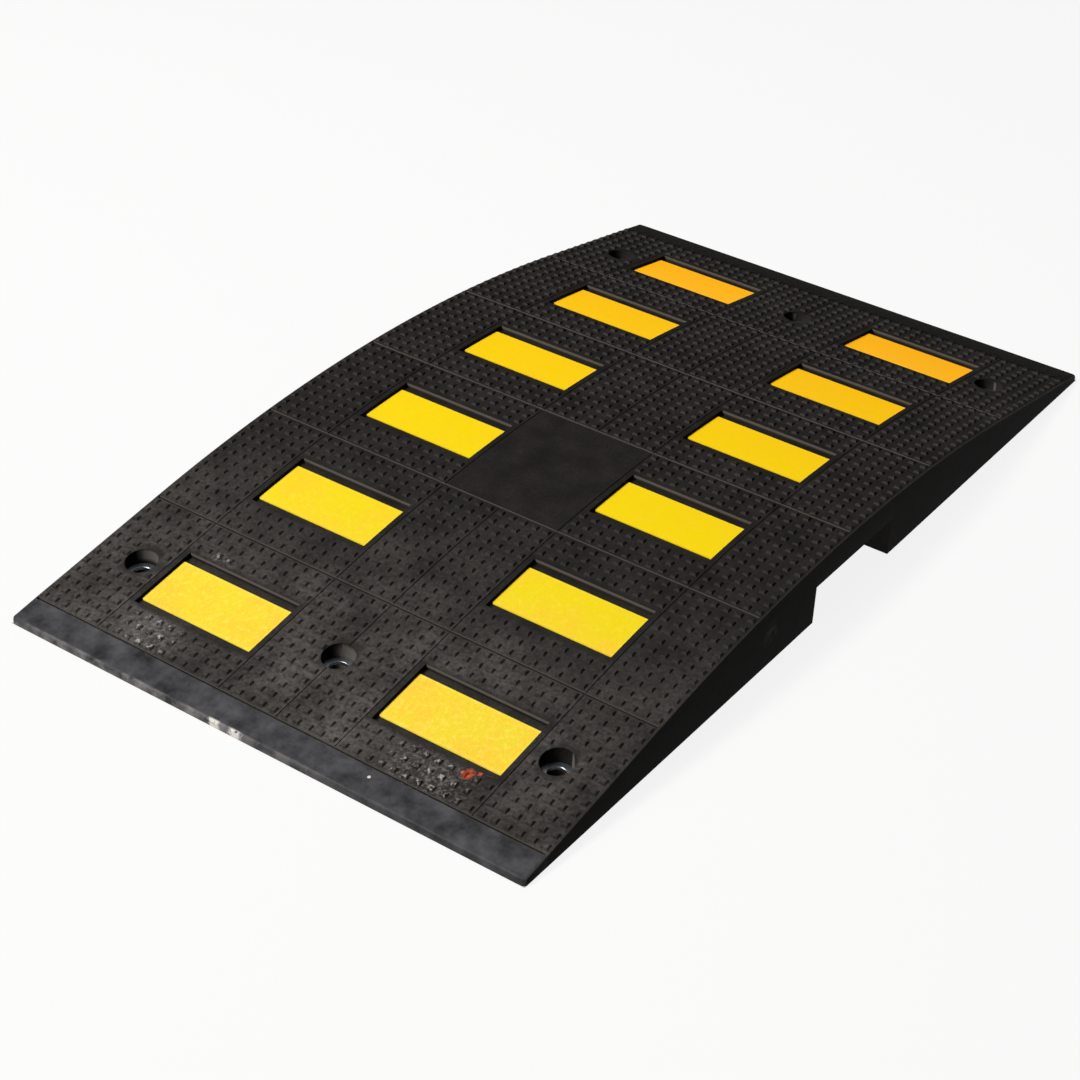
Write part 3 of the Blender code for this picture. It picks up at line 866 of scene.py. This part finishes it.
print("strips in", len(STRIP_HUES_PAINTED_LIGHT), "painted_light_hues")

# %% [markdown]
# ## Zinc-plated steel
# The washers are stamped from sheet steel and plated with zinc: a bright grey metal that dulls in patches
# as it weathers. A metal's colour is its reflection, so the patches go into the roughness as well as into
# the colour.

# %% Zinc material
# Bright grey with dull patches: the eye takes it for plated sheet steel that has been outdoors.
zinc, tree, shader = new_material("zinc_plated_steel")
place = add_node(tree, "ShaderNodeTexCoord").outputs["Object"]
ZINC_PATCH = 4 * MM
dull = blotches(tree, place, ZINC_PATCH, 0.3, 0.75)
bloom = {"Factor": dull, "A": linear("#b4bcc4"), "B": linear("#7d858c")}
plate = add_node(tree, "ShaderNodeMix", bloom, data_type="RGBA").outputs["Result"]
tree.links.new(plate, shader.inputs["Base Color"])
dulling = {"Value": dull, "To Min": 0.28, "To Max": 0.5}
dulled = add_node(tree, "ShaderNodeMapRange", dulling).outputs["Result"]
tree.links.new(dulled, shader.inputs["Roughness"])
shader.inputs["Metallic"].default_value = 1.0
for piece in washers.values():
    piece.data.materials.append(zinc)
print("washers plated:", len(washers))

# %% [markdown]
# ## Floor and light
# The module stands on a white sheet. To the camera the sheet is mostly plain white, with some of its own
# shading left in, so that the soft shadow stays, and under the block it keeps its real shade, which the
# bolt holes show. The main lamp hangs in front, to the left, which leaves the side that faces the camera's
# right nearly black. A large lamp overhead fills in, and a faint blue one behind gives the near ramp its
# sheen.

# %% Floor
FLOOR_SIZE = 30.0
FLOOR_DROP = 0.1 * MM
CHANNEL_CLEAR = 80 * MM
WHITE_SHARE = 0.82
floor_mesh = bmesh.new()
bmesh.ops.create_grid(floor_mesh, x_segments=1, y_segments=1, size=FLOOR_SIZE / 2)
floor = new_piece("floor", floor_mesh)
floor.location.z = -FLOOR_DROP
# Plain white with a soft shadow: the eye takes it for a sheet of studio paper.
paper, tree, shader = new_material("white_paper_floor")
shader.inputs["Base Color"].default_value = linear("#c8c8c8")
shader.inputs["Roughness"].default_value = 0.9
rays = add_node(tree, "ShaderNodeLightPath").outputs
seen = rays["Is Camera Ray"]
for ray in ("Is Glossy Ray", "Is Transmission Ray"):
    seen = add_node(tree, "ShaderNodeMath", {0: seen, 1: rays[ray]}, operation="MAXIMUM").outputs[0]
floor_place = add_node(tree, "ShaderNodeTexCoord").outputs["Object"]
from_middle = add_node(tree, "ShaderNodeVectorMath", {0: floor_place}, operation="ABSOLUTE").outputs[0]
axes = add_node(tree, "ShaderNodeSeparateXYZ", {0: from_middle}).outputs
under_block = [
    ("X", "LESS_THAN", HALF_WIDTH),
    ("Y", "LESS_THAN", HALF_LENGTH),
    ("Y", "GREATER_THAN", CHANNEL_CLEAR),
]
covered = 1.0
for axis_name, test, limit in under_block:
    within = add_node(tree, "ShaderNodeMath", {0: axes[axis_name], 1: limit}, operation=test).outputs[0]
    covered = add_node(tree, "ShaderNodeMath", {0: covered, 1: within}, operation="MULTIPLY").outputs[0]
open_floor = add_node(tree, "ShaderNodeMath", {0: 1.0, 1: covered}, operation="SUBTRACT").outputs[0]
whitened = seen
for part in (WHITE_SHARE, open_floor):
    whitened = add_node(tree, "ShaderNodeMath", {0: whitened, 1: part}, operation="MULTIPLY").outputs[0]
white = add_node(tree, "ShaderNodeEmission", {"Color": linear("#ffffff"), "Strength": 1.05})
blend = {0: whitened, 1: shader.outputs["BSDF"], 2: white.outputs["Emission"]}
sheet = add_node(tree, "ShaderNodeMixShader", blend)
tree.links.new(sheet.outputs["Shader"], tree.nodes["Material Output"].inputs["Surface"])
floor.data.materials.append(paper)
print("floor of", FLOOR_SIZE, "m")

# %% Lamps


def add_softbox(name, location, target, size, power, colour):
    light = bpy.data.lights.new(name, "AREA")
    light.shape = "SQUARE"
    light.size = size
    light.energy = power
    light.color = linear(colour)[:3]
    lamp = bpy.data.objects.new(name, light)
    lamp.location = location
    lamp.rotation_euler = (Vector(target) - Vector(location)).to_track_quat("-Z", "Y").to_euler()
    bpy.context.scene.collection.objects.link(lamp)


add_softbox("key", (-1.5, -2.3, 2.9), (0, 0, 0), 1.0, 140, "#fffaf4")
add_softbox("overhead", (-0.4, 0.3, 2.4), (0, 0, 0), 1.6, 15, "#ffffff")
add_softbox("sky", (-1.05, 0.24, 1.58), (0, -0.35, 0), 0.9, 3, "#dce8ff")

world = bpy.data.worlds.new("studio")
bpy.context.scene.world = world
world.use_nodes = True
world.node_tree.nodes["Background"].inputs["Color"].default_value = linear("#ffffff")
world.node_tree.nodes["Background"].inputs["Strength"].default_value = 0.08
bpy.context.scene.view_settings.view_transform = "Standard"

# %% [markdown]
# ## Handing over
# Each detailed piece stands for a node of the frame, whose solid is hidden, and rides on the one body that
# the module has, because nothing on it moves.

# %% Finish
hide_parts("rubber_body")
for name, piece in films.items():
    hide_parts(name)
for name, piece in washers.items():
    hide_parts(name)
for piece in [body, *films.values(), *washers.values()]:
    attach(piece, "root")
